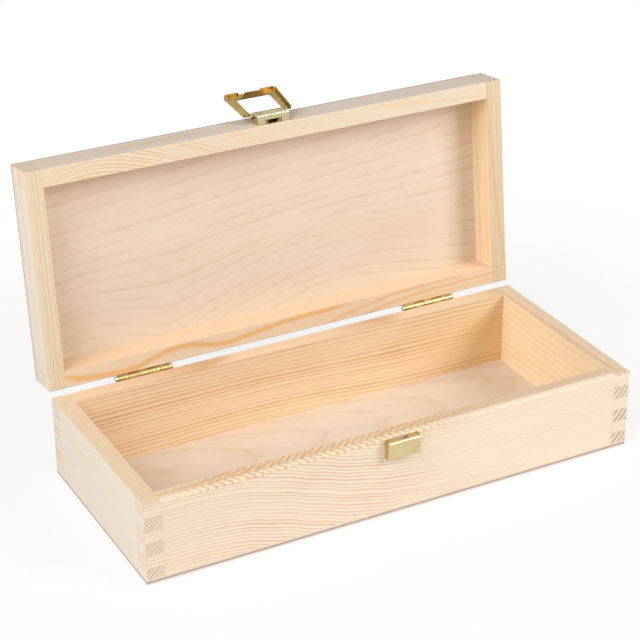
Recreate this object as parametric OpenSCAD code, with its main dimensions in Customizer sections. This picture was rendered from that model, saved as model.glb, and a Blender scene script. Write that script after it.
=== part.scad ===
// Hinged pine wine box with a plywood bottom and top, finger-jointed corners,
// two surface hinges on the back and a sheet-metal bail latch on the front.
// The origin is the middle of the underside of the base. +X runs along the
// length, the latch faces -Y and +Z is up. The lid stands open against the
// hinge stops and the latch bail is flipped up.

/* [Box] */
// Outside length of the box
box_length = 360; // [300:1:420]
// Outside depth of the box, from front to back
box_depth = 152; // [120:1:200]
// Height of the base, with its bottom panel
base_height = 58; // [46:1:90]
// Height of the lid, with its top panel
lid_height = 26; // [24:1:45]
// Thickness of the pine boards
board = 12; // [10:0.5:15]
// Thickness of the plywood panels
panel = 4; // [3:0.5:6]
// Width of the flat sanded along each outside edge
edge_flat = 0.5; // [0.3:0.1:1.2]
// Gap between the two rims when the lid is shut
rim_gap = 0.4; // [0.2:0.1:0.8]
// Angle at which the hinge stops hold the lid, from shut
lid_open = 97; // [90:1:105]

/* [Finger joints] */
// Width of one finger
finger = 9; // [7:0.5:12]
// Height of the sliver of end finger left on the base rim by the saw
rim_sliver = 1; // [0.6:0.1:2]
// Width of the saw cut that parted the lid from the base
saw_cut = 2; // [1:0.1:3]

/* [Hinges] */
// Distance of each hinge's middle from the end of the box
hinge_inset = 68; // [45:1:85]
// Length of a hinge leaf beyond each end of the barrel
leaf_margin = 3; // [2:0.5:8]
// Height of a hinge leaf on the wood, from the pin
leaf_reach = 17; // [14:0.5:20]
// Thickness of the leaf sheet
leaf_sheet = 1; // [0.8:0.1:1.2]
// Length of the rolled barrel, over all its knuckles
barrel_length = 38; // [30:1:40]
// Outside diameter of the barrel
barrel_d = 4.4; // [4.2:0.1:4.4]
// Distance of the hinge pin's axis from the back of the box
pin_stand = 2.5; // [2.5:0.1:3.2]
// Diameter of the hinge pin
hinge_pin_d = 2; // [1.6:0.1:2.4]
// Diameter of the ball tips on the hinge pin
ball_tip_d = 4; // [3.6:0.1:4.6]
// Clearance round a pin in its bore
pin_fit = 0.06; // [0.04:0.01:0.1]
// Gap between neighbouring knuckles and round a knuckle
knuckle_gap = 0.3; // [0.2:0.05:0.5]

/* [Nails] */
// Diameter of a hinge nail
nail_d = 1.4; // [1.2:0.1:1.8]
// Length of a hinge nail under its head
nail_length = 9.5; // [7:0.5:10]
// Diameter of a nail head
nail_head_d = 3.4; // [2.8:0.1:3.8]
// Height of a nail head
nail_head_h = 0.9; // [0.6:0.1:1.2]
// Clearance round a nail in the leaf and in the wood
nail_fit = 0.05; // [0.03:0.01:0.1]

/* [Latch] */
// Offset of the latch from the middle of the front
latch_x = 0; // [-5:0.5:5]
// Thickness of the latch sheet
latch_sheet = 0.9; // [0.7:0.1:1.1]
// Outside radius of the folds in the bracket
fold_r = 1.1; // [1:0.1:1.4]
// Width of the bracket on the lid
bracket_w = 24; // [20:0.5:28]
// Height of the bracket on the lid
bracket_h = 10; // [9:0.5:12]
// Depth of the bracket, out from the wood
bracket_out = 7; // [6.6:0.1:8]
// Height of the bracket above the lid's rim
bracket_rise = 2.2; // [1.5:0.1:3]
// Width of the notch in the bracket's rim wall
notch_w = 12; // [10:0.5:14]
// Height of that notch
notch_out = 3.2; // [2.8:0.1:3.4]
// Height of the bail's pin above the lid's rim
pivot_rise = 10; // [9:0.1:10.2]
// Distance of the bail's pin from the wood
pivot_out = 5; // [4.6:0.1:5.1]
// Diameter of the bail's pin
bail_pin_d = 1.8; // [1.4:0.1:2]
// Width of the catch on the base
catch_w = 24; // [18:0.5:24.5]
// Height of the catch on the base
catch_h = 12.8; // [10:0.2:15]
// Depth of the catch, out from the wood
catch_out = 6; // [5.4:0.1:6.4]
// Outside radius of the folds in the catch
catch_fold_r = 1.6; // [1:0.1:1.8]
// Width of the slit between the catch's top and each cheek
catch_slit = 0.35; // [0.2:0.05:0.5]
// Distance of the catch's top below the base rim
catch_drop = 0.7; // [0.5:0.1:2]
// Radius of the bite in the catch's top
bite_r = 4.3; // [3:0.1:4.4]
// Length of the prongs that hold the bracket and the catch in the wood
prong_length = 6; // [4:0.5:8]
// Clearance between moving pieces of the latch
latch_gap = 0.4; // [0.3:0.05:0.6]
// Width of each arm of the bail at its foot
arm_w = 5.2; // [4.6:0.1:7]
// Distance that each side of the bail leans out on its way to the bar
bail_flare = 2; // [0:0.1:3]
// Width of the bail's bar
bar_w = 6; // [5:0.2:8]
// Height of the rim folded up round the bail
bail_rim = 2.7; // [1.8:0.1:3]
// Width of the break in that rim behind the lip
rim_break = 16; // [10:0.5:20]
// Height of the lip that hooks under the catch
lip_rise = 4.8; // [4:0.1:4.9]
// Width of the lip at its foot
lip_foot = 20; // [14:0.5:22]
// Width of the lip at its top
lip_top = 11.5; // [8:0.5:13]
// Angle of the flipped bail above the lid's front
bail_rise = 16; // [14:0.5:30]
// Thickness of the flat spring
spring_sheet = 0.5; // [0.4:0.05:0.6]

/* [Hidden] */
$fn = 48;
over = 1;
KNUCKLES = 5;
base_wood = base_height - panel;
lid_wood = lid_height - panel;
lid_first = finger - rim_sliver - saw_cut;
hinge_x = box_length / 2 - hinge_inset;
leaf_length = barrel_length + 2 * leaf_margin;
shut_rim = base_height + rim_gap;
axis_y = box_depth / 2 + pin_stand;
axis_z = base_height + rim_gap / 2;
barrel_r = barrel_d / 2;
knuckle = barrel_length / KNUCKLES;
leaf_root = barrel_r + knuckle_gap;
bail_half = bracket_w / 2 + latch_gap + arm_w + latch_sheet / 2;
window_half = bracket_w / 2 + 2 * latch_gap;
window_far = pivot_rise + rim_gap + catch_drop + catch_h + latch_gap;
bail_far = window_far + bar_w;
bail_travel = 180 - bail_rise;
ear_r = 2;
arm_foot = 0.6 * ear_r;
bail_corner_r = 2.4;
bail_lean = atan(bail_flare / (bail_far - arm_foot));
bail_corner = [
    bail_half + (bail_far - bail_corner_r - arm_foot) * tan(bail_lean) - bail_corner_r / cos(bail_lean),
    bail_far - bail_corner_r
];
pin_grip = bracket_w / 2 + latch_gap + latch_sheet + pin_fit;
pin_head_h = 0.6;
pin_head_r = bail_pin_d / 2 + 0.6;
pin_relief = pin_grip + pin_head_h + latch_gap;
prong_root = 3;
nail_spread = 0.36 * leaf_length;
low_nail = 0.62 * leaf_reach;
high_nail = 0.82 * leaf_reach;
nail_spots = [[-nail_spread, low_nail], [0, high_nail], [nail_spread, low_nail]];
pine = "#ead2a8";
ply = "#e3caa6";
brass = "#b79a4a";
pale_brass = "#c9b87a";

// Places

// The lid's pieces are drawn shut and turned about the hinge axis to stand open.
module open_lid() {
    translate([0, axis_y, axis_z])
        rotate([-lid_open, 0, 0])
            translate([0, -axis_y, -axis_z])
                children();
}

// Pieces on the front: drawn with +Y out from the wood and +Z up from a rim.
module on_front(rim_z) {
    translate([latch_x, -box_depth / 2, rim_z])
        mirror([0, 1, 0])
            children();
}

// Wood

module flatted(width, height) {
    c = edge_flat;
    polygon([
        [c - width / 2, 0], [width / 2 - c, 0], [width / 2, c], [width / 2, height - c],
        [width / 2 - c, height], [c - width / 2, height], [-width / 2, height - c], [-width / 2, c]
    ]);
}

// A block with a flat sanded along each of its twelve edges, standing on z = 0.
module sanded_block(height) {
    intersection() {
        translate([0, box_depth / 2, 0])
            rotate([90, 0, 0])
                linear_extrude(box_depth)
                    flatted(box_length, height);
        translate([-box_length / 2, 0, 0])
            rotate([90, 0, 90])
                linear_extrude(box_length)
                    flatted(box_depth, height);
        linear_extrude(height)
            translate([0, -box_depth / 2])
                flatted(box_length, box_depth);
    }
}

// Fingers are counted from the rim: band 0 is an end finger, band 1 a long one.
function band_start(k, first) = k == 0 ? 0 : first + (k - 1) * finger;

module bands(wood, first, parity, size) {
    for (k = [parity : 2 : ceil(wood / finger) + 1]) {
        low = band_start(k, first);
        high = min(band_start(k + 1, first), wood);
        if (high > low) {
            translate([0, 0, low])
                cube([size[0], size[1], high - low]);
        }
    }
}

// A board along X, outer face at y = 0 and rim at z = 0, notched for the end fingers.
module long_board(wood, first) {
    difference() {
        translate([-box_length / 2, 0, 0])
            cube([box_length, board, wood]);
        for (side = [0, 1]) {
            mirror([side, 0, 0])
                translate([box_length / 2 - board, -over, 0])
                    bands(wood, first, 0, [board + over, board + 2 * over]);
        }
    }
}

// A board along Y, outer face at x = 0 and rim at z = 0, notched for the long fingers.
module end_board(wood, first) {
    difference() {
        translate([0, -box_depth / 2, 0])
            cube([board, box_depth, wood]);
        for (side = [0, 1]) {
            mirror([0, side, 0])
                translate([-over, box_depth / 2 - board, 0])
                    bands(wood, first, 1, [board + 2 * over, board + over]);
        }
    }
}

// Base walls hang from the rim; lid walls stand on it when shut.
module base_place() {
    translate([0, 0, base_height])
        mirror([0, 0, 1])
            children();
}

module base_block() {
    color(pine)
        intersection() {
            children();
            sanded_block(base_height);
        }
}

module lid_block() {
    color(pine)
        open_lid()
            intersection() {
                children();
                translate([0, 0, shut_rim])
                    sanded_block(lid_height);
            }
}

module base_front_wall() {
    base_block()
        difference() {
            base_place()
                translate([0, -box_depth / 2, 0])
                    long_board(base_wood, rim_sliver);
            on_front(base_height)
                catch_prongs();
        }
}

module base_back_wall() {
    base_block()
        difference() {
            base_place()
                mirror([0, 1, 0])
                    translate([0, -box_depth / 2, 0])
                        long_board(base_wood, rim_sliver);
            for (x = [-hinge_x, hinge_x]) {
                hinge_at(x)
                    nail_bores(-1);
            }
        }
}

module base_left_wall() {
    base_block()
        base_place()
            translate([-box_length / 2, 0, 0])
                end_board(base_wood, rim_sliver);
}

module base_right_wall() {
    base_block()
        base_place()
            mirror([1, 0, 0])
                translate([-box_length / 2, 0, 0])
                    end_board(base_wood, rim_sliver);
}

module base_bottom_panel() {
    color(ply)
        intersection() {
            sanded_block(base_height);
            translate([-box_length / 2, -box_depth / 2, 0])
                cube([box_length, box_depth, panel]);
        }
}

module lid_front_wall() {
    lid_block()
        difference() {
            translate([0, -box_depth / 2, shut_rim])
                long_board(lid_wood, lid_first);
            on_front(shut_rim)
                bracket_prongs();
        }
}

module lid_back_wall() {
    lid_block()
        difference() {
            mirror([0, 1, 0])
                translate([0, -box_depth / 2, shut_rim])
                    long_board(lid_wood, lid_first);
            for (x = [-hinge_x, hinge_x]) {
                hinge_at(x)
                    nail_bores(1);
            }
        }
}

module lid_left_wall() {
    lid_block()
        translate([-box_length / 2, 0, shut_rim])
            end_board(lid_wood, lid_first);
}

module lid_right_wall() {
    lid_block()
        mirror([1, 0, 0])
            translate([-box_length / 2, 0, shut_rim])
                end_board(lid_wood, lid_first);
}

module lid_top_panel() {
    color(ply)
        open_lid()
            intersection() {
                translate([0, 0, shut_rim])
                    sanded_block(lid_height);
                translate([-box_length / 2, -box_depth / 2, shut_rim + lid_wood])
                    cube([box_length, box_depth, panel]);
            }
}

// Hinges, drawn shut about the axis of their pin

module hinge_at(x) {
    translate([x, axis_y, axis_z])
        children();
}

module along_x(length) {
    rotate([90, 0, 90])
        linear_extrude(length, center = true)
            children();
}

function knuckle_x(k) = (k - (KNUCKLES - 1) / 2) * knuckle;

// One leaf: side 1 goes up on the lid and has the outer knuckles, side -1 goes
// down on the base. The sheet lies on the wood and rolls round the pin.
module leaf(side) {
    first = side > 0 ? 0 : 1;
    difference() {
        union() {
            translate([-leaf_length / 2, -pin_stand, side > 0 ? leaf_root : -leaf_reach])
                cube([leaf_length, leaf_sheet, leaf_reach - leaf_root]);
            for (k = [first : 2 : KNUCKLES - 1]) {
                translate([knuckle_x(k), 0, 0])
                    along_x(knuckle - knuckle_gap) {
                        circle(r = barrel_r);
                        translate([-pin_stand, side > 0 ? 0 : -leaf_root - leaf_sheet])
                            square([leaf_sheet, leaf_root + leaf_sheet]);
                    }
            }
        }
        along_x(leaf_length + 2 * over)
            circle(d = hinge_pin_d + 2 * pin_fit);
        nail_holes(side);
    }
}

// A lug on the base's knuckles that the open lid's leaf comes to rest on.
module stop_lugs() {
    lug_w = knuckle - 2 * knuckle_gap;
    lug_t = 0.9;
    bite = 1;
    root = barrel_r / 2;
    difference() {
        rotate([-lid_open, 0, 0])
            for (k = [1 : 2 : KNUCKLES - 2]) {
                translate([knuckle_x(k) - lug_w / 2, leaf_sheet - pin_stand + pin_fit, root])
                    cube([lug_w, lug_t, leaf_root + bite - root]);
            }
        along_x(leaf_length + 2 * over)
            circle(d = hinge_pin_d + 2 * pin_fit);
    }
}

module nail_at(side) {
    for (spot = nail_spots) {
        translate([spot[0], leaf_sheet - pin_stand, side * spot[1]])
            rotate([90, 0, 0])
                children();
    }
}

module nail_holes(side) {
    nail_at(side)
        translate([0, 0, -over])
            cylinder(d = nail_d + 2 * nail_fit, h = leaf_sheet + 2 * over);
}

module nail_bores(side) {
    nail_at(side)
        cylinder(d = nail_d + 2 * nail_fit, h = nail_length + over / 2);
}

// A round-headed nail, its shank down +Z from the underside of the head.
module nail() {
    point = nail_d;
    cylinder(d = nail_d, h = nail_length - point);
    translate([0, 0, nail_length - point])
        cylinder(d1 = nail_d, d2 = nail_d / 5, h = point);
    mirror([0, 0, 1])
        rotate_extrude()
            intersection() {
                dome = (pow(nail_head_d / 2, 2) + pow(nail_head_h, 2)) / (2 * nail_head_h);
                translate([0, nail_head_h - dome])
                    circle(r = dome);
                square([nail_head_d / 2, nail_head_h]);
            }
}

module hinge_nails(side) {
    nail_at(side)
        nail();
}

// The pin, with a ball tip at each end of the barrel.
module hinge_pin() {
    neck = 0.5;
    tip_r = ball_tip_d / 2;
    tip_set = 0.8;
    along_x(barrel_length + 2 * neck)
        circle(d = hinge_pin_d);
    for (side = [0, 1]) {
        mirror([side, 0, 0])
            translate([barrel_length / 2, 0, 0])
                rotate([0, 90, 0])
                    rotate_extrude()
                        intersection() {
                            translate([0, tip_set])
                                circle(r = tip_r);
                            square([tip_r, 2 * tip_r]);
                        }
    }
}

module left_hinge_base_leaf() {
    color(brass)
        hinge_at(-hinge_x)
            base_leaf();
}

module right_hinge_base_leaf() {
    color(brass)
        hinge_at(hinge_x)
            base_leaf();
}

module base_leaf() {
    leaf(-1);
    stop_lugs();
}

module left_hinge_lid_leaf() {
    color(brass)
        open_lid()
            hinge_at(-hinge_x)
                leaf(1);
}

module right_hinge_lid_leaf() {
    color(brass)
        open_lid()
            hinge_at(hinge_x)
                leaf(1);
}

module left_hinge_pin() {
    color(pale_brass)
        hinge_at(-hinge_x)
            hinge_pin();
}

module right_hinge_pin() {
    color(pale_brass)
        hinge_at(hinge_x)
            hinge_pin();
}

module left_hinge_base_nails() {
    color(pale_brass)
        hinge_at(-hinge_x)
            hinge_nails(-1);
}

module right_hinge_base_nails() {
    color(pale_brass)
        hinge_at(hinge_x)
            hinge_nails(-1);
}

module left_hinge_lid_nails() {
    color(pale_brass)
        open_lid()
            hinge_at(-hinge_x)
                hinge_nails(1);
}

module right_hinge_lid_nails() {
    color(pale_brass)
        open_lid()
            hinge_at(hinge_x)
                hinge_nails(1);
}

// Latch

// Outline of a folded sheet box: flat on y = 0, its two outer folds rounded.
module folded_outline(width, depth, radius) {
    translate([-width / 2, 0])
        square([width, depth - radius]);
    translate([radius - width / 2, 0])
        square([width - 2 * radius, depth]);
    for (side = [-1, 1]) {
        translate([side * (width / 2 - radius), depth - radius])
            circle(r = radius);
    }
}

// A box folded from sheet, open to the wood, with its low edge at z = 0.
module folded_box(width, depth, height, radius, top_wall) {
    room = top_wall ? height - latch_sheet : height + over;
    difference() {
        intersection() {
            linear_extrude(height)
                folded_outline(width, depth, radius);
            translate([0, 0, height / 2])
                along_x(width + over)
                    rotate(-90)
                        folded_side(height, depth, radius, top_wall);
        }
        translate([latch_sheet - width / 2, -over, latch_sheet])
            cube([width - 2 * latch_sheet, depth - latch_sheet + over, room - latch_sheet]);
    }
}

// The side view of the same box, folded over at its foot and, if closed, at its top.
module folded_side(height, depth, radius, top_wall) {
    folded_outline(height, depth, radius);
    if (!top_wall) {
        translate([-height / 2, 0])
            square([height / 2, depth]);
    }
}

// A pair of prongs on the cheeks of a folded box, driven into the wood.
module prongs(width, middle_z) {
    for (side = [-1, 1]) {
        translate([side * (width - latch_sheet) / 2, 0, middle_z])
            along_x(latch_sheet)
                polygon([
                    [0, -prong_root / 2], [0, prong_root / 2],
                    [-prong_length, prong_root / 10], [-prong_length, -prong_root / 10]
                ]);
    }
}

module catch_prongs() {
    prongs(catch_w, -catch_drop - catch_h / 2);
}

module bracket_prongs() {
    prongs(bracket_w, bracket_rise + bracket_h / 2);
}

// The catch on the base, with a round bite out of its top along the wood and a
// slit where its top meets each cheek.
module latch_catch() {
    slit_x = catch_w / 2 - latch_sheet - catch_slit;
    slit_length = catch_out - catch_fold_r;
    color(brass)
        on_front(base_height) {
            translate([0, 0, -catch_drop - catch_h])
                difference() {
                    folded_box(catch_w, catch_out, catch_h, catch_fold_r, true);
                    translate([0, 0, catch_h - latch_sheet - over / 2])
                        cylinder(r = bite_r, h = latch_sheet + over);
                    for (side = [0, 1]) {
                        mirror([side, 0, 0])
                            translate([slit_x, -over, catch_h - latch_sheet - over / 2])
                                cube([catch_slit, slit_length + over, latch_sheet + over]);
                    }
                }
            catch_prongs();
        }
}

// The bracket on the lid, open at the top, notched along the wood at its foot
// and bored through both cheeks for the bail's pin.
module latch_bracket() {
    color(pale_brass)
        open_lid()
            on_front(shut_rim) {
                difference() {
                    translate([0, 0, bracket_rise])
                        folded_box(bracket_w, bracket_out, bracket_h, fold_r, false);
                    translate([-notch_w / 2, -over, bracket_rise - over])
                        cube([notch_w, notch_out + over, latch_sheet + 2 * over]);
                    translate([0, pivot_out, pivot_rise])
                        along_x(bracket_w + 2 * over)
                            circle(d = bail_pin_d + 2 * pin_fit);
                }
                bracket_prongs();
            }
}

// A flat spring on the wood under the bracket. It rises to the bail's pin, and
// its two end tongues stand in the bracket's notch.
module latch_spring() {
    spring_w = notch_w - 2 * latch_gap;
    tongue_w = 1.3;
    toe = bracket_rise;
    bend = pivot_rise - 2.6;
    inner_bend = bend - spring_sheet / 2;
    crest = pivot_rise - 0.5;
    inner_crest = crest + spring_sheet / 2;
    top = pivot_rise + 1.5;
    reach = pivot_out - bail_pin_d / 2 - spring_sheet - pin_fit;
    outer = reach + spring_sheet;
    color(brass)
        open_lid()
            on_front(shut_rim) {
                along_x(spring_w)
                    polygon([
                        [0, toe], [spring_sheet, toe], [spring_sheet, inner_bend],
                        [outer, crest], [outer, top],
                        [reach, top], [reach, inner_crest], [0, bend]
                    ]);
                for (side = [-1, 1]) {
                    translate([side * (spring_w - tongue_w) / 2, 0, toe + spring_sheet / 2])
                        linear_extrude(spring_sheet, center = true)
                            translate([-tongue_w / 2, 0])
                                square([tongue_w, notch_out - latch_gap]);
                }
            }
}

// Places the bail: drawn flat with +Y along its arms from the pin and +Z to the
// wood when latched, then hung on the pin and flipped up.
module on_pivot() {
    open_lid()
        translate([latch_x, -box_depth / 2 - pivot_out, shut_rim + pivot_rise])
            rotate([-90 - bail_travel, 0, 0])
                children();
}

// The bail's outline: two arms that lean out from the pin and a bar with rounded corners.
module bail_outline(inset) {
    r = bail_corner_r - inset;
    foot = inset > 0 ? arm_foot - over : arm_foot;
    edge = bail_corner + r * [cos(bail_lean), -sin(bail_lean)];
    foot_half = edge[0] - (edge[1] - foot) * tan(bail_lean);
    top = bail_corner[1] + r;
    polygon([
        [-foot_half, foot], [foot_half, foot], edge, [bail_corner[0], top],
        [-bail_corner[0], top], [-edge[0], edge[1]]
    ]);
    for (side = [-1, 1]) {
        translate([side * bail_corner[0], bail_corner[1]])
            circle(r = r);
    }
}

// The rim folded up round the bail, broken behind the lip with rounded ends.
module bail_rim_wall() {
    r = bail_rim - latch_sheet;
    half = rim_break / 2 + r;
    difference() {
        linear_extrude(bail_rim)
            difference() {
                bail_outline(0);
                bail_outline(latch_sheet);
            }
        translate([0, bail_far + over, latch_sheet])
            rotate([90, 0, 0])
                linear_extrude(bail_corner_r + over)
                    difference() {
                        translate([-half, 0])
                            square([2 * half, r + over]);
                        for (side = [-1, 1]) {
                            translate([side * half, 0])
                                circle(r = r);
                        }
                    }
    }
}

// The lip folded up from the window's far edge, which hooks under the catch.
module bail_lip() {
    translate([0, window_far + latch_sheet, 0])
        rotate([90, 0, 0])
            linear_extrude(latch_sheet)
                polygon([
                    [-lip_foot / 2, 0], [lip_foot / 2, 0],
                    [lip_top / 2, lip_rise], [-lip_top / 2, lip_rise]
                ]);
}

// Ears stand up from the arms beside the bracket and carry the pin.
module bail_ears() {
    for (side = [-1, 1]) {
        translate([side * (bracket_w / 2 + latch_gap + latch_sheet / 2), 0, 0])
            along_x(latch_sheet) {
                circle(r = ear_r);
                translate([0, -latch_sheet / 2])
                    square([3 * ear_r, latch_sheet]);
            }
    }
}

module latch_bail() {
    relief_top = pin_head_r + latch_gap;
    color(brass)
        on_pivot()
            difference() {
                union() {
                    translate([0, 0, -latch_sheet / 2]) {
                        linear_extrude(latch_sheet)
                            difference() {
                                bail_outline(0);
                                translate([-window_half, 0])
                                    square([2 * window_half, window_far]);
                                translate([-pin_relief, arm_foot - over])
                                    square([2 * pin_relief, relief_top + over - arm_foot]);
                            }
                        bail_rim_wall();
                        bail_lip();
                    }
                    bail_ears();
                }
                along_x(2 * window_half + 2 * latch_sheet)
                    circle(d = bail_pin_d + 2 * pin_fit);
            }
}

module latch_pin() {
    color(pale_brass)
        on_pivot() {
            along_x(2 * pin_grip + pin_head_h)
                circle(d = bail_pin_d);
            for (side = [-1, 1]) {
                translate([side * (pin_grip + pin_head_h / 2), 0, 0])
                    along_x(pin_head_h)
                        circle(r = pin_head_r);
            }
        }
}

base_front_wall();
base_back_wall();
base_left_wall();
base_right_wall();
base_bottom_panel();
lid_front_wall();
lid_back_wall();
lid_left_wall();
lid_right_wall();
lid_top_panel();
left_hinge_base_leaf();
left_hinge_lid_leaf();
left_hinge_pin();
left_hinge_base_nails();
left_hinge_lid_nails();
right_hinge_base_leaf();
right_hinge_lid_leaf();
right_hinge_pin();
right_hinge_base_nails();
right_hinge_lid_nails();
latch_catch();
latch_bracket();
latch_spring();
latch_bail();
latch_pin();
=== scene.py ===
"""A hinged pine wine box: the finishes of its boards, panels, hinges and latch, and the stage round it.

Lengths in the wood finishes are in millimetres, measured with the lid shut. u runs across
a board, v runs up the box and along runs with the grain.
"""

import math
from dataclasses import dataclass

import bmesh
import bpy
from mathutils import Euler, Matrix, Vector

bl_info = {
    "name": "Pine wine box",
    "version": (1, 0, 0),
    "blender": (4, 5, 0),
    "location": "3D View > Sidebar > Wine box",
    "description": "Dresses a hinged pine wine box and sets the stage round it",
    "category": "Object",
}

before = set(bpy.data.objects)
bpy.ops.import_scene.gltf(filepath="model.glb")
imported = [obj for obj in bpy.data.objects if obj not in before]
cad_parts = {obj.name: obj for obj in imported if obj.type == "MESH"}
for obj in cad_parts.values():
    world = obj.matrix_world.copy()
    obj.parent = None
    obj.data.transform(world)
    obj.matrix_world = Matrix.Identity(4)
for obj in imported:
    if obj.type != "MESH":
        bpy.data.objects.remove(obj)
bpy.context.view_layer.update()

MM = 0.001

# Sizes of the box with its lid shut, in millimetres
LENGTH = 360.0
DEPTH = 152.0
BASE_RIM = 58.0
SHUT_RIM = 58.4
LID_PANEL_LOW = 80.4
BOARD = 12.0
PANEL = 4.0
PLIES = 3.0
HINGE_Y = 78.5
HINGE_Z = 58.2
LID_OPEN = math.radians(97.0)
BASE_FINGERS = (12.0, 21.0, 30.0, 39.0, 48.0, 57.0)
LID_FINGERS = (64.4, 73.4)

# How deep a face's own colour reaches, and half the width of a joint's line
SKIN = 0.30
SKIN_END = 0.45
SEAM_HALF = 0.30

# Height of the ring's dark part over one ring: on a face, in end grain and in plywood
RING = ((0.0, 0.55), (0.07, 0.0), (0.42, 0.05), (0.80, 0.62), (0.93, 1.0), (1.0, 0.55))
END_RING = ((0.0, 0.4), (0.07, 0.0), (0.68, 0.04), (0.84, 0.8), (0.93, 1.0), (1.0, 0.4))
PLY_RING = ((0.0, 0.45), (0.06, 0.0), (0.60, 0.04), (0.85, 0.40), (0.95, 1.0), (1.0, 0.45))

# Colours of the streaks and marks in single boards, and of the painted shade in the back wall's far corner
PALE_EDGE = (0.90, 0.78, 0.62)
BROWN_BAND = (0.60, 0.45, 0.30)
INNER_MARK = (0.66, 0.36, 0.13)
OUTER_MARK = (0.68, 0.38, 0.14)
# Painted warm shade in the corner by the base's right wall, not a colour of the wood
PAINTED_CORNER_SHADE = (0.80, 0.48, 0.16)
FAINT_STREAK = (0.80, 0.56, 0.28)
LONG_STREAK = (0.79, 0.43, 0.12)
EDGE_STREAK = (0.72, 0.40, 0.14)
CROSS_STREAK = (0.74, 0.44, 0.17)

# How far wood shines, and the plywood's two faces
WOOD_SPECULAR = 0.25
BOTTOM_FACE = (0.74, 0.625, 0.52)
LID_FACE = (0.79, 0.655, 0.525)

# The stage, in metres
WHITE = (1.0, 1.0, 1.0)
FLOOR_SIZE = 12.0
FLOOR_DROP = 0.0004
SHADOW_FULL = 0.26
SHADOW_END = 0.52
LIT_POINT = (0.0, 0.05, 0.08)
KEY_PLACE = (1.22, -1.17, 1.08)
KEY_SIZE = 0.9
SIDE_PLACE = (-1.48, -0.45, 1.37)
SIDE_SIZE = 1.8
CAMERA_PLACE = (-0.564511, -1.028620, 0.706774)
CAMERA_RIGHT = (0.882413, -0.470466, -0.003146)
CAMERA_AHEAD = (0.417577, 0.786259, -0.455440)
SENSOR_WIDTH = 36.0


# Shader sums


class Wire:
    """One output of a node, which takes part in Python's arithmetic."""

    def __init__(self, bench, socket):
        self.bench = bench
        self.socket = socket

    def math(self, operation, *others):
        return self.bench.node("ShaderNodeMath", {"operation": operation}, self, *others)

    def __add__(self, other):
        return self.math("ADD", other)

    def __radd__(self, other):
        return self.math("ADD", other)

    def __sub__(self, other):
        return self.math("SUBTRACT", other)

    def __rsub__(self, other):
        return self.bench.node("ShaderNodeMath", {"operation": "SUBTRACT"}, other, self)

    def __mul__(self, other):
        return self.math("MULTIPLY", other)

    def __rmul__(self, other):
        return self.math("MULTIPLY", other)

    def __truediv__(self, other):
        return self.math("DIVIDE", other)

    def __pow__(self, other):
        return self.math("POWER", other)

    def __abs__(self):
        return self.math("ABSOLUTE")


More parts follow.
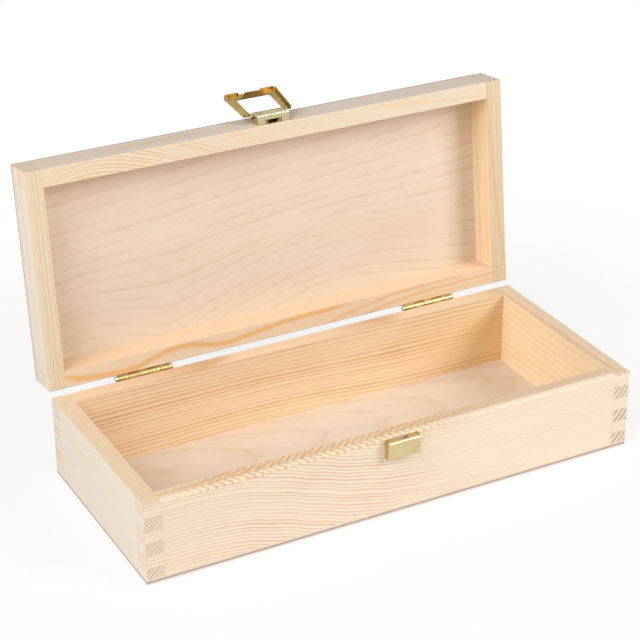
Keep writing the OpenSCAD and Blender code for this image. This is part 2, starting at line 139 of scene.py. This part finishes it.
class Bench:
    """The nodes of a material or a world under construction."""

    def __init__(self, owner):
        self.owner = owner
        owner.use_nodes = True
        self.nodes = owner.node_tree.nodes
        self.links = owner.node_tree.links
        self.nodes.clear()

    def node(self, kind, settings=None, *values, **named):
        """Adds a node, sets it up, feeds its live sockets and returns its first live output."""
        made = self.nodes.new(kind)
        for key, setting in (settings or {}).items():
            setattr(made, key, setting)
        sockets = [socket for socket in made.inputs if socket.enabled]
        for socket, value in zip(sockets, values):
            self._feed(socket, value)
        for key, value in named.items():
            self._feed(made.inputs[key.replace("_", " ")], value)
        live = [output for output in made.outputs if output.enabled]
        return Wire(self, live[0])

    def _feed(self, socket, value):
        if isinstance(value, Wire):
            self.links.new(value.socket, socket)
        elif socket.type == "RGBA" and len(value) == 3:
            socket.default_value = (*value, 1.0)
        else:
            socket.default_value = value

    def blend(self, first, second, share, mode="MIX"):
        """Mixes two colours, with a share of 0 for the first and 1 for the second."""
        settings = {"data_type": "RGBA", "blend_type": mode}
        return self.node("ShaderNodeMix", settings, share, first, second)

    def tinge(self, colour, *tinges):
        """Lays colours over a colour, each where its value has gone from low to high."""
        for tinge, value, low, high, amount in tinges:
            colour = self.blend(colour, tinge, self.step(value, low, high) * amount)
        return colour

    def step(self, value, low, high):
        """Rises smoothly from 0 at low to 1 at high."""
        settings = {"interpolation_type": "SMOOTHSTEP"}
        return self.node("ShaderNodeMapRange", settings, value, low, high, 0.0, 1.0)

    def skin(self, value, face):
        """1 in the skin of the face that lies at that value, and 0 deeper in."""
        return self.step(abs(value - face), SKIN_END, SKIN)

    def line(self, value, centre, half):
        """1 where value is at centre, fading to 0 at half either side."""
        return 1.0 - self.step(abs(value - centre), 0.0, half)

    def band(self, value, centre, half):
        """A band with soft edges: 1 round centre and 0 beyond half either side."""
        return 1.0 - self.step(abs(value - centre), half * 0.45, half)

    def join(self, x, y, z):
        return self.node("ShaderNodeCombineXYZ", None, x, y, z)

    def noise(self, x, y, z, detail=2.0, roughness=0.5):
        """Noise from 0 to 1 over three coordinates that are already scaled."""
        return self.node("ShaderNodeTexNoise", {"noise_dimensions": "3D"}, Vector=self.join(x, y, z),
                         Scale=1.0, Detail=detail, Roughness=roughness)

    def noise_along(self, x, detail=1.0):
        """Noise from 0 to 1 over one coordinate that is already scaled."""
        return self.node("ShaderNodeTexNoise", {"noise_dimensions": "1D"}, W=x, Scale=1.0, Detail=detail)

    def ramp(self, value, points, ease="LINEAR"):
        """A curve from 0 to 1 through points of place and height."""
        made = self.node("ShaderNodeValToRGB", None, value)
        ramp = made.socket.node.color_ramp
        ramp.interpolation = ease
        while len(ramp.elements) < len(points):
            ramp.elements.new(0.5)
        for element, (place, height) in zip(ramp.elements, points):
            element.position = place
            element.color = (height, height, height, 1.0)
        return made

    def curve(self, value, points):
        """A smooth curve through points of place and height, level beyond its ends."""
        first, last = points[0][0], points[-1][0]
        low = min(height for _, height in points)
        high = max(height for _, height in points)
        share = (value - first) / (last - first)
        stops = [
            ((place - first) / (last - first), (height - low) / (high - low))
            for place, height in points
        ]
        return self.ramp(share, stops, "CARDINAL") * (high - low) + low

    def rays(self, *kinds):
        """1 for light paths of any of the kinds."""
        paths = self.nodes.new("ShaderNodeLightPath")
        first, *others = [Wire(self, paths.outputs[kind]) for kind in kinds]
        for other in others:
            first = first.math("MAXIMUM", other)
        return first

    def place(self, opened):
        """X, Y and Z in millimetres with the lid shut, whichever way the piece stands."""
        where = self.nodes.new("ShaderNodeTexCoord").outputs["Object"]
        turn, shift = Euler((0.0, 0.0, 0.0)), Vector((0.0, 0.0, 0.0))
        if opened:
            turn = Euler((LID_OPEN, 0.0, 0.0))
            pivot = Vector((0.0, HINGE_Y, HINGE_Z))
            shift = pivot - turn.to_matrix() @ pivot
        mapped = self.node("ShaderNodeMapping", {"vector_type": "POINT"}, Vector=Wire(self, where),
                           Location=shift, Rotation=turn, Scale=(1.0 / MM, 1.0 / MM, 1.0 / MM))
        split = self.nodes.new("ShaderNodeSeparateXYZ")
        self.links.new(mapped.socket, split.inputs[0])
        return [Wire(self, output) for output in split.outputs]

    def finish(self, colour, roughness, height, relief, **constants):
        """Ends a material in one Principled shader, with a bump of relief millimetres."""
        bump = self.node("ShaderNodeBump", None, Strength=1.0, Distance=relief * MM, Height=height)
        shader = self.node("ShaderNodeBsdfPrincipled", None, Base_Color=colour, Roughness=roughness,
                           Normal=bump, **constants)
        return self.end("ShaderNodeOutputMaterial", shader)

    def end(self, kind, shader):
        """Feeds an output node and returns the finished material or world."""
        out = self.nodes.new(kind)
        self.links.new(shader.socket, out.inputs["Surface"])
        return self.owner


# Finishes


@dataclass
class Board:
    """How one pine board was sawn from its log, and the colour of each of its faces."""

    lean: float
    spacing: float
    wander: float
    strength: float
    seed: float
    ends: float
    flow: object = None
    showing: object = None
    streaks: object = None
    outer: tuple = (0.80, 0.66, 0.50)
    rim: tuple = (0.77, 0.60, 0.42)
    inner: tuple = (0.84, 0.65, 0.44)
    late: tuple = (0.84, 0.62, 0.42)


def pine(name, look, board, lengthwise, opened):
    """Solid pine: growth rings through the board, fibres along it and darker end grain."""
    bench = Bench(bpy.data.materials.new(name))
    x, y, v = bench.place(opened)
    along, u = (x, y) if lengthwise else (y, x)
    half, wide = (LENGTH / 2, DEPTH / 2) if lengthwise else (DEPTH / 2, LENGTH / 2)

    def stretched(length, width, offset, detail, roughness=0.5):
        """Noise drawn out along the grain."""
        return bench.noise(along / length, u / width, v / width + (board.seed + offset), detail, roughness)

    drift = stretched(95.0, 30.0, 0.0, 1.0) - 0.5
    ripple = stretched(22.0, 7.0, 9.0, 2.0) - 0.5
    patch = stretched(60.0, 18.0, 3.0, 2.0)
    fibre = stretched(14.0, 0.42, 0.0, 3.0, 0.65)
    canal = stretched(3.2, 0.28, 5.0, 1.0)
    cloud = stretched(70.0, 25.0, 7.0, 2.0)
    speck = stretched(1.5, 0.5, 0.0, 2.0)

    lean = math.radians(board.lean)
    depth = u * math.cos(lean) + v * math.sin(lean)
    depth = depth + drift * (2.0 * board.wander) + ripple * (0.35 * board.wander)
    if board.flow:
        depth = depth + board.flow(bench, along, u, v)
    rings = depth / (board.spacing * look.ring_scale)
    uneven = bench.noise_along(rings * 0.61 + board.seed) - 0.5
    rings = rings + uneven * 0.7
    phase = rings.math("FRACT")
    age = bench.noise_along(rings * 0.23 + (4.0 + board.seed))
    grain = bench.ramp(phase, RING)
    grain = grain * (bench.step(age, 0.25, 0.7) * 0.6 + 0.4) * (bench.step(patch, 0.25, 0.75) * 0.5 + 0.5)
    if board.showing:
        grain = grain * board.showing(bench, along, u, v)

    middle = wide - BOARD / 2
    flat = bench.blend(board.inner, board.outer, bench.step(abs(u), middle - 1.0, middle + 1.0))
    flat = bench.blend(flat, board.rim, bench.skin(v, SHUT_RIM if opened else BASE_RIM))
    dark = bench.blend(flat, board.late, 1.0, "MULTIPLY")
    flat = bench.blend(flat, dark, grain * (board.strength * look.grain_strength))
    flat = bench.tinge(
        flat,
        (look.fibre_colour, fibre, 0.5, 0.82, 0.22 * look.fibre_strength),
        (look.pale_colour, fibre, 0.5, 0.2, 0.25 * look.fibre_strength),
        (look.canal_colour, canal, 0.70, 0.80, 0.22),
        (look.warm_colour, cloud, 0.45, 0.8, 0.20),
    )
    # Overlays lay on the boards' streaks and marks, and on the back wall painted shade
    if board.streaks:
        threads = bench.step(fibre, 0.25, 0.7) * 0.3 + 0.7
        for colour, amount in board.streaks(bench, along, u, v):
            flat = bench.blend(flat, colour, amount * threads)

    end = bench.blend(look.end_colour, look.end_ring_colour, bench.ramp(phase, END_RING) * board.ends)
    end = bench.tinge(end, (look.end_ring_colour, speck, 0.45, 0.8, 0.2 * board.ends))
    colour = bench.blend(flat, end, bench.skin(abs(along), half))

    corner = half - BOARD
    seams = bench.line(abs(along), corner, SEAM_HALF)
    for edge in LID_FINGERS if opened else BASE_FINGERS:
        seams = seams.math("MAXIMUM", bench.line(v, edge, SEAM_HALF))
    in_corner = bench.step(abs(along), corner - SKIN_END, corner - SKIN)
    colour = bench.blend(colour, look.seam_colour, seams * in_corner * 0.35)

    height = fibre * 0.5 + grain * 0.4 - bench.step(canal, 0.70, 0.80) * 0.4
    rough = 0.62 - grain * 0.10 + fibre * 0.08
    return bench.finish(colour, rough, height, relief=0.05, Specular_IOR_Level=WOOD_SPECULAR)


def plywood(name, look, opened, seed, figure, face):
    """Thin birch plywood: a wandering peeled figure on its faces and plies on its edges."""
    bench = Bench(bpy.data.materials.new(name))
    x, y, z = bench.place(opened)
    swell = bench.noise(x / 110.0, y / 42.0, seed, 1.0)
    ripple = bench.noise(x / 26.0, y / 9.0, seed + 2.0) - 0.5
    patch = bench.noise(x / 38.0, y / 16.0, seed + 5.0)
    fibre = bench.noise(x / 9.0, y / 0.5, seed + z / 3.0, 3.0, 0.6)
    fleck = bench.noise(x / 2.6, y / 0.34, seed + 8.0, 1.0)
    rings = figure(bench, x, y) + (swell - 0.5) * 0.9 + ripple * 0.35
    rings = rings + (bench.noise_along(rings * 0.7 + seed) - 0.5) * 0.5
    late = bench.ramp(rings.math("FRACT"), PLY_RING)

    colour = bench.tinge(face, (look.ply_pale_colour, patch, 0.60, 0.35, 0.35))
    shown = bench.step(patch, 0.25, 0.65) * 0.75 + 0.25
    colour = bench.blend(colour, look.ply_figure_colour, late * shown * look.ply_figure_strength)
    colour = bench.tinge(
        colour,
        (look.ply_warm_colour, swell, 0.45, 0.75, 0.30),
        (look.ply_figure_colour, fibre, 0.55, 0.85, 0.22),
        (look.canal_colour, fleck, 0.76, 0.86, 0.30),
    )

    ply = (z - (LID_PANEL_LOW if opened else 0.0)) * (PLIES / PANEL)
    core = bench.step(abs(ply - PLIES / 2), 0.52, 0.48)
    rough_cut = bench.noise(x / 0.9, y / 0.9, z / 0.35)
    edge = bench.blend(look.ply_edge_colour, look.ply_core_colour, core)
    edge = bench.tinge(edge, (look.ply_core_colour, rough_cut, 0.45, 0.8, 0.35))
    rim = bench.skin(abs(x), LENGTH / 2).math("MAXIMUM", bench.skin(abs(y), DEPTH / 2))
    colour = bench.blend(colour, edge, rim)
    rough = 0.60 - late * 0.08
    height = fibre * 0.5 + late * 0.3
    return bench.finish(colour, rough, height, relief=0.03, Specular_IOR_Level=WOOD_SPECULAR)


def plated_brass(name, colour, dull_and_painted_reflection_colour, roughness, opened):
    """Thin brass plating on steel: bright, a little uneven, with faint rolling marks. Its dull patches are
    partly uneven plating and partly painted dark reflection.
    """
    bench = Bench(bpy.data.materials.new(name))
    x, y, z = bench.place(opened)
    cloud = bench.noise(x / 5.0, y / 5.0, z / 5.0)
    spot = bench.noise(x / 0.8, y / 0.8, z / 0.8 + 4.0)
    marks = bench.noise(x / 6.0, y / 0.20, z / 0.20)
    # The dull colour in broad patches is partly dull plating and partly painted dark reflection
    shade = bench.tinge(colour, (dull_and_painted_reflection_colour, cloud, 0.35, 0.75, 0.5), (dull_and_painted_reflection_colour, spot, 0.62, 0.80, 0.3))
    rough = roughness + cloud * 0.08 + bench.step(spot, 0.6, 0.8) * 0.08
    return bench.finish(shade, rough, marks * 0.4 + spot * 0.2, relief=0.003, Metallic=1.0)


# Sizes and colours that a user would change


def tint(label, text, shade):
    """A colour that a user can set."""
    return bpy.props.FloatVectorProperty(
        name=label, description=text, subtype="COLOR", size=3, min=0.0, max=1.0, default=shade
    )


def share(label, text, value, top=2.0):
    """A share or factor that a user can set."""
    return bpy.props.FloatProperty(
        name=label, description=text, subtype="FACTOR", default=value, min=0.0, max=top
    )


class WoodLook(bpy.types.PropertyGroup):
    ring_scale: share("Ring spacing", "Width of the growth rings, against the real boards", 1.0)
    grain_strength: share("Grain strength", "How dark the growth rings are", 1.0)
    fibre_strength: share("Fibre strength", "How far the fine fibres show", 1.0)
    fibre_colour: tint("Fibre", "Colour of the darker fibres", (0.70, 0.50, 0.31))
    pale_colour: tint("Pale fibre", "Colour of the paler fibres", (0.90, 0.80, 0.66))
    warm_colour: tint("Warm patches", "Colour of the broad warm patches", (0.84, 0.62, 0.36))
    canal_colour: tint("Resin canals", "Colour of the fine dark dashes", (0.50, 0.31, 0.17))
    end_colour: tint("End grain", "Colour of the end grain between rings", (0.80, 0.65, 0.52))
    end_ring_colour: tint("End grain rings", "Colour of the rings in the end grain", (0.27, 0.15, 0.09))
    seam_colour: tint("Joint lines", "Colour of the lines between fingers", (0.42, 0.27, 0.17))
    ply_pale_colour: tint("Pale plywood", "Colour of the plywood's pale patches", (0.83, 0.70, 0.57))
    ply_figure_colour: tint("Plywood figure", "Colour of its figure", (0.60, 0.43, 0.26))
    ply_warm_colour: tint("Plywood warmth", "Colour of its warm patches", (0.78, 0.60, 0.42))
    ply_edge_colour: tint("Plywood edge", "Colour of the outer plies' edges", (0.80, 0.69, 0.60))
    ply_core_colour: tint("Plywood core", "Colour of the middle ply's edge", (0.44, 0.34, 0.29))
    ply_figure_strength: share("Figure strength", "How far the plywood's figure shows", 0.42)


class BrassLook(bpy.types.PropertyGroup):
    catch_colour: tint("Catch", "Colour of the catch's plating", (0.72, 0.59, 0.31))
    # Each dull colour is partly dull plating and partly painted dark reflection
    catch_dull_and_painted_reflection_colour: tint("Dull catch", "Colour where that plating is dull", (0.60, 0.47, 0.20))
    # The bail's colour is its plating, darkened as painted dark reflection
    bail_plating_and_painted_reflection_colour: tint("Bail", "Colour of the bail's golden plating", (0.48, 0.32, 0.10))
    bail_dull_and_painted_reflection_colour: tint("Dull bail", "Colour where that plating is dull", (0.18, 0.12, 0.045))
    bracket_colour: tint("Bracket", "Colour of the bracket's pale plating", (0.60, 0.53, 0.33))
    bracket_dull_and_painted_reflection_colour: tint("Dull bracket", "Colour where that plating is dull", (0.46, 0.40, 0.21))
    # The hinge leaves' colour is their plating, darkened as painted dark reflection
    leaf_plating_and_painted_reflection_colour: tint("Hinge leaf", "Colour of the hinges' plating", (0.62, 0.47, 0.20))
    leaf_dull_and_painted_reflection_colour: tint("Dull hinge leaf", "Colour where that plating is dull", (0.30, 0.22, 0.11))
    roughness: share("Roughness", "Roughness of the plating", 0.22, 1.0)


def power(label, text, value):
    """A lamp's power in watts that a user can set."""
    return bpy.props.FloatProperty(name=label, description=text, default=value, min=0.0, unit="POWER")


class StageLook(bpy.types.PropertyGroup):
    floor_colour: tint("Floor", "Colour of the floor", (0.90, 0.90, 0.90))
    shadow: share("Floor shadow", "How far the floor shows the box's shadow", 0.18, 1.0)
    sky: share("Fill light", "Strength of the light from all round", 0.15)
    sky_colour: tint("Fill colour", "Colour of the light from all round", (1.0, 0.84, 0.66))
    key: power("Key light", "Power of the soft light from the right", 25.0)
    side: power("Side light", "Power of the broad light from the left", 39.0)
    lens: bpy.props.FloatProperty(
        name="Lens", description="Focal length of the camera", default=112.18, min=10.0,
        subtype="DISTANCE_CAMERA",
    )


# How each board was sawn


def front_flow(bench, along, u, v):
    """The rings lie level at the left end, fall through the middle and level out again."""
    fall = bench.curve(along, [(-180, 0), (-132, 0.5), (-101, 6), (-73, 15), (-47, 24), (-16, 32),
                               (10, 36), (60, 40), (180, 45)])
    return fall + (u + 70.0) * -0.55


def front_showing(bench, along, u, v):
    """Strong grain at the left and in the middle, faint at the right."""
    return bench.curve(along, [(-180, 0.8), (-120, 1.0), (-20, 1.1), (30, 0.6), (90, 0.35), (180, 0.4)])


def front_streaks(bench, along, u, v):
    """Slanted marks across the rim, inner and outer ones the opposite way, and a pale edge."""
    inside = bench.skin(v, BASE_RIM) * bench.step(u, -72.4, -71.4)
    edge = bench.step(u, -71.2, -72.2) * bench.step(v, BASE_RIM - 2.4, BASE_RIM - 1.2)
    wobble = bench.noise(along / 14.0, u / 8.0, 2.0) * 2.6
    pitch = 5.3
    inner = ((along - u + wobble) / pitch).math("FRACT")
    outer = ((along + u * 0.7 + wobble) / pitch).math("FRACT")
    fade = bench.step(along, -176.0, -120.0) * bench.step(along, 70.0, 0.0)
    patchy = bench.step(bench.noise(along / 9.0, u / 6.0, 2.0), 0.25, 0.6) * 0.6 + 0.4
    shown = patchy * fade
    return [
        (PALE_EDGE, edge * bench.skin(v, BASE_RIM)),
        (BROWN_BAND, bench.step(along, -40.0, 60.0) * inside * 0.50),
        (INNER_MARK, bench.line(inner, 0.5, 0.34) * inside * shown * 0.90),
        (OUTER_MARK, bench.line(outer, 0.5, 0.32) * edge * shown),
    ]


def back_flow(bench, along, u, v):
    """A low swell in the rings left of the middle."""
    swell = bench.line(along, -30.0, 130.0)
    return swell * (v - 70.0) * 0.09 + along * 0.02


def back_painted_shade(bench, along, u, v):
    """Painted warm shade on the inside towards the right end, where the right wall shades the back wall."""
    # Painted shade: orange laid over the back wall towards its right end
    return [(PAINTED_CORNER_SHADE, bench.step(along, 40.0, 178.0) * bench.step(v, BASE_RIM, 40.0) * 0.5)]


def lid_front_flow(bench, along, u, v):
    """Arcs on the rim that run out into slanted lines, and straight lines elsewhere."""
    reach = (along + 135.0) * (along + 135.0) + 1600.0
    return (reach ** 0.5) * bench.skin(v, SHUT_RIM) * -0.48 + v * 0.8


def lid_front_showing(bench, along, u, v):
    """Strong grain at the left, faint at the right."""
    return bench.curve(along, [(-180, 1.1), (-100, 1.2), (-30, 0.7), (60, 0.4), (180, 0.4)])


def lid_front_streaks(bench, along, u, v):
    """A faint orange streak along the right of the rim."""
    path = bench.curve(along, [(60, -75.5), (90, -73.0), (130, -69.0), (180, -66.0)])
    shown = bench.step(along, 60.0, 85.0) * bench.skin(v, SHUT_RIM)
    return [(FAINT_STREAK, bench.band(u, path, 1.3) * shown * 0.5)]


def lid_back_streaks(bench, along, u, v):
    """Orange streaks that wander across the rim from end to end."""
    inner_face = DEPTH / 2 - BOARD
    paths = (
        ([(-168, 4.5), (-155, 8.0), (-120, 9.7), (-108, 7.0), (-95, 3.6), (-82, 2.4), (-70, 4.0),
          (-55, 7.0), (-40, 6.5), (-10, 3.0), (40, 0.5), (60, -3.0)], 2.3, 1.0),
        ([(20, 14.0), (40, 9.0), (60, 5.5), (82, 2.0), (110, 0.5), (180, -2.0)], 1.5, 0.7),
        ([(50, 14.0), (75, 9.0), (100, 6.0), (140, 4.5), (180, 4.0)], 1.5, 0.7),
        ([(80, 14.0), (105, 10.5), (140, 8.5), (180, 8.0)], 1.1, 0.45),
    )
    wobble = bench.noise(along / 12.0, 3.0, 5.0) * 1.2 - 0.6
    streaks = []
    for points, half, amount in paths:
        path = bench.curve(along, points) + wobble
        halo = bench.line(u - inner_face, path, half * 2.2) * 0.35
        core = bench.band(u - inner_face, path, half)
        shown = core.math("MAXIMUM", halo) * bench.skin(v, SHUT_RIM)
        streaks.append((LONG_STREAK, shown * (0.85 * amount)))
    return streaks


def right_streaks(bench, along, u, v):
    """A dark orange edge along the inside of the rim."""
    path = bench.curve(along, [(-76, 178.0), (-68, 172.0), (-40, 170.0), (20, 169.5), (76, 168.0)])
    return [(EDGE_STREAK, bench.band(u, path, 1.8) * bench.skin(v, BASE_RIM) * 0.60)]


def lid_right_streaks(bench, along, u, v):
    """An orange streak that crosses the rim from its top inside to its bottom outside."""
    path = bench.curve(along, [(-76, 168.5), (-40, 170.0), (0, 172.5), (40, 176.0), (60, 178.5),
                               (76, 180.0)])
    return [(CROSS_STREAK, bench.band(u, path, 1.6) * bench.skin(v, SHUT_RIM) * 0.60)]


BASE_BOARDS = {
    "base_front_wall": Board(
        lean=90.0, spacing=2.6, wander=0.9, strength=1.15, seed=1.0, ends=0.3,
        flow=front_flow, showing=front_showing, streaks=front_streaks,
        outer=(0.88, 0.75, 0.605), rim=(0.79, 0.63, 0.45), late=(0.73, 0.50, 0.32),
    ),
    "base_back_wall": Board(
        lean=90.0, spacing=3.3, wander=1.2, strength=1.0, seed=21.0, ends=0.3,
        # Its overlay is painted shade in the corner by the right wall
        flow=back_flow, streaks=back_painted_shade,
        inner=(0.92, 0.71, 0.47), rim=(0.80, 0.62, 0.42), late=(0.66, 0.42, 0.21),
    ),
    "base_left_wall": Board(
        lean=-45.0, spacing=2.3, wander=0.5, strength=0.5, seed=31.0, ends=0.6,
        outer=(0.77, 0.70, 0.625), rim=(0.77, 0.61, 0.435), late=(0.86, 0.70, 0.52),
    ),
    "base_right_wall": Board(
        lean=140.0, spacing=3.6, wander=1.6, strength=0.45, seed=41.0, ends=0.8,
        streaks=right_streaks,
        inner=(0.89, 0.74, 0.51), rim=(0.76, 0.62, 0.47), late=(0.85, 0.62, 0.38),
    ),
}
LID_BOARDS = {
    "lid_front_wall": Board(
        lean=0.0, spacing=2.6, wander=0.6, strength=1.1, seed=51.0, ends=0.3,
        flow=lid_front_flow, showing=lid_front_showing, streaks=lid_front_streaks,
        outer=(0.76, 0.68, 0.61), rim=(0.79, 0.67, 0.52), late=(0.84, 0.60, 0.34),
    ),
    "lid_back_wall": Board(
        lean=75.0, spacing=5.0, wander=1.5, strength=0.30, seed=61.0, ends=0.3,
        streaks=lid_back_streaks,
        inner=(0.88, 0.68, 0.48), rim=(0.83, 0.68, 0.51),
    ),
    "lid_left_wall": Board(
        lean=20.0, spacing=2.4, wander=0.5, strength=0.80, seed=71.0, ends=0.6,
        outer=(0.77, 0.70, 0.62), rim=(0.76, 0.64, 0.48), late=(0.82, 0.66, 0.40),
    ),
    "lid_right_wall": Board(
        lean=160.0, spacing=3.0, wander=0.9, strength=0.60, seed=81.0, ends=0.6,
        streaks=lid_right_streaks,
        inner=(0.90, 0.71, 0.47), rim=(0.715, 0.585, 0.42), late=(0.84, 0.62, 0.36),
    ),
}


def lid_figure(bench, x, y):
    """Lines that climb to the right over two humps, with a fold between them."""
    low = bench.step(y, -70.0, 70.0)
    humps = bench.line(x, 46.0, 130.0) * 30.0 + bench.line(x, -137.0, 62.0) * 17.0
    return (y + low * low * humps + x * 0.10) / 9.5


def bottom_figure(bench, x, y):
    """Broad loops that point to the right."""
    bow = y - 30.0
    return (x + bow * bow / 16.0) / 52.0


# Steps


def wear(nodes, material):
    """Gives CAD nodes a material in their own slots."""
    for node in nodes:
        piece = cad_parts[node]
        for slot in piece.material_slots:
            slot.material = material


def dress_walls(boards, look, opened):
    """Gives each board its own pine, with the grain along it."""
    for node, board in boards.items():
        lengthwise = "front" in node or "back" in node
        wear([node], pine(node + "_pine", look, board, lengthwise, opened))


class DressStep(bpy.types.Operator):
    """One step of dressing the wine box"""

    bl_options = {"REGISTER", "UNDO"}


class DressBaseWalls(DressStep):
    """Gives the base's four boards their pine"""

    bl_idname = "wine_box.dress_base_walls"
    bl_label = "Base walls"

    def execute(self, context):
        dress_walls(BASE_BOARDS, context.scene.wine_box_wood, opened=False)
        return {"FINISHED"}


class DressLidWalls(DressStep):
    """Gives the lid's four boards their pine"""

    bl_idname = "wine_box.dress_lid_walls"
    bl_label = "Lid walls"

    def execute(self, context):
        dress_walls(LID_BOARDS, context.scene.wine_box_wood, opened=True)
        return {"FINISHED"}


class DressPanels(DressStep):
    """Gives the bottom panel and the lid's panel their birch plywood"""

    bl_idname = "wine_box.dress_panels"
    bl_label = "Plywood panels"

    def execute(self, context):
        look = context.scene.wine_box_wood
        bottom = plywood("bottom_plywood", look, opened=False, seed=3.0, figure=bottom_figure,
                         face=BOTTOM_FACE)
        wear(["base_bottom_panel"], bottom)
        top = plywood("lid_plywood", look, opened=True, seed=11.0, figure=lid_figure, face=LID_FACE)
        wear(["lid_top_panel"], top)
        return {"FINISHED"}


class DressHinges(DressStep):
    """Gives the hinges, their pins and their nails their plating"""

    bl_idname = "wine_box.dress_hinges"
    bl_label = "Hinges"

    def execute(self, context):
        look = context.scene.wine_box_brass
        for body, opened in (("base", False), ("lid", True)):
            leaf = plated_brass(body + "_leaf_brass", look.leaf_plating_and_painted_reflection_colour, look.leaf_dull_and_painted_reflection_colour,
                                look.roughness + 0.08, opened)
            nail = plated_brass(body + "_nail_brass", look.catch_colour, look.catch_dull_and_painted_reflection_colour,
                                look.roughness, opened)
            for side in ("left", "right"):
                wear([f"{side}_hinge_{body}_leaf"], leaf)
                wear([f"{side}_hinge_{body}_nails"], nail)
                if body == "base":
                    wear([f"{side}_hinge_pin"], nail)
        return {"FINISHED"}


class DressLatch(DressStep):
    """Gives the catch, the bracket, its spring, the bail and its pin their plating"""

    bl_idname = "wine_box.dress_latch"
    bl_label = "Latch"

    def execute(self, context):
        look = context.scene.wine_box_brass
        catch = plated_brass("catch_brass", look.catch_colour, look.catch_dull_and_painted_reflection_colour,
                             look.roughness, False)
        bail = plated_brass("bail_brass", look.bail_plating_and_painted_reflection_colour, look.bail_dull_and_painted_reflection_colour,
                            look.roughness, True)
        bracket = plated_brass("bracket_brass", look.bracket_colour, look.bracket_dull_and_painted_reflection_colour,
                               look.roughness, True)
        wear(["latch_catch"], catch)
        wear(["latch_bail", "latch_spring"], bail)
        wear(["latch_bracket", "latch_pin"], bracket)
        return {"FINISHED"}


def lay_floor(look):
    """A pale floor that reads as white but keeps the box's shadow."""
    mesh = bpy.data.meshes.new("floor")
    ground = bmesh.new()
    bmesh.ops.create_grid(ground, x_segments=1, y_segments=1, size=FLOOR_SIZE,
                          matrix=Matrix.Translation((0.0, 0.0, -FLOOR_DROP)))
    ground.to_mesh(mesh)
    ground.free()
    floor = bpy.data.objects.new("floor", mesh)
    bpy.context.collection.objects.link(floor)

    bench = Bench(bpy.data.materials.new("pale_floor"))
    matt = bench.node("ShaderNodeBsdfDiffuse", None, Color=look.floor_colour)
    white = bench.node("ShaderNodeEmission", None, Color=WHITE, Strength=1.0)
    x, y, _ = bench.place(opened=False)
    near = bench.step((x * x + y * y) ** 0.5, SHADOW_END / MM, SHADOW_FULL / MM)
    seen = bench.rays("Is Camera Ray", "Is Glossy Ray", "Is Transmission Ray")
    both = bench.node("ShaderNodeMixShader", None, seen * (1.0 - near * look.shadow), matt, white)
    mesh.materials.append(bench.end("ShaderNodeOutputMaterial", both))


def light_room(look):
    """A dim warm room that the camera and shiny metal see as white."""
    bench = Bench(bpy.data.worlds.new("soft_room"))
    room = bench.node("ShaderNodeBackground", None, Color=look.sky_colour, Strength=look.sky)
    backdrop = bench.node("ShaderNodeBackground", None, Color=WHITE, Strength=1.0)
    seen = bench.rays("Is Camera Ray", "Is Glossy Ray")
    both = bench.node("ShaderNodeMixShader", None, seen, room, backdrop)
    bpy.context.scene.world = bench.end("ShaderNodeOutputWorld", both)


def soft_box(name, place, size, watts):
    """A square soft light that faces the box."""
    lamp = bpy.data.lights.new(name, "AREA")
    lamp.shape = "SQUARE"
    lamp.size = size
    lamp.energy = watts
    light = bpy.data.objects.new(name, lamp)
    light.location = place
    light.rotation_euler = (Vector(LIT_POINT) - Vector(place)).to_track_quat("-Z", "Y").to_euler()
    bpy.context.collection.objects.link(light)


class SetStage(DressStep):
    """Lays a pale floor under the box and lights it softly"""

    bl_idname = "wine_box.set_stage"
    bl_label = "Floor and light"

    def execute(self, context):
        look = context.scene.wine_box_stage
        lay_floor(look)
        light_room(look)
        soft_box("key_light", KEY_PLACE, KEY_SIZE, look.key)
        soft_box("side_light", SIDE_PLACE, SIDE_SIZE, look.side)
        return {"FINISHED"}


class SetCamera(DressStep):
    """Places the camera where the photograph was taken from"""

    bl_idname = "wine_box.set_camera"
    bl_label = "Camera"

    def execute(self, context):
        lens = bpy.data.cameras.new("camera")
        lens.lens = context.scene.wine_box_stage.lens
        lens.sensor_width = SENSOR_WIDTH
        camera = bpy.data.objects.new("camera", lens)
        right = Vector(CAMERA_RIGHT)
        ahead = Vector(CAMERA_AHEAD)
        up = right.cross(ahead)
        turn = Matrix((right, up, -ahead)).transposed()
        camera.matrix_world = Matrix.Translation(CAMERA_PLACE) @ turn.to_4x4()
        context.collection.objects.link(camera)
        context.scene.camera = camera
        context.scene.view_settings.view_transform = "Standard"
        return {"FINISHED"}


STEPS = (DressBaseWalls, DressLidWalls, DressPanels, DressHinges, DressLatch, SetStage, SetCamera)


class WineBoxPanel(bpy.types.Panel):
    """Lists the steps that dress the wine box"""

    bl_idname = "VIEW3D_PT_wine_box"
    bl_label = "Wine box"
    bl_space_type = "VIEW_3D"
    bl_region_type = "UI"
    bl_category = "Wine box"

    def draw(self, context):
        for step in STEPS:
            self.layout.operator(step.bl_idname)


LOOKS = {"wine_box_wood": WoodLook, "wine_box_brass": BrassLook, "wine_box_stage": StageLook}


def register():
    for look in LOOKS.values():
        bpy.utils.register_class(look)
    for step in STEPS:
        bpy.utils.register_class(step)
    bpy.utils.register_class(WineBoxPanel)
    for name, look in LOOKS.items():
        setattr(bpy.types.Scene, name, bpy.props.PointerProperty(type=look))


def unregister():
    for name in LOOKS:
        delattr(bpy.types.Scene, name)
    bpy.utils.unregister_class(WineBoxPanel)
    for step in reversed(STEPS):
        bpy.utils.unregister_class(step)
    for look in LOOKS.values():
        bpy.utils.unregister_class(look)


def main():
    register()
    bpy.ops.wine_box.set_camera()
    bpy.ops.wine_box.set_stage()
    bpy.ops.wine_box.dress_base_walls()
    bpy.ops.wine_box.dress_lid_walls()
    bpy.ops.wine_box.dress_panels()
    bpy.ops.wine_box.dress_hinges()
    bpy.ops.wine_box.dress_latch()


if __name__ == "__main__":
    main()
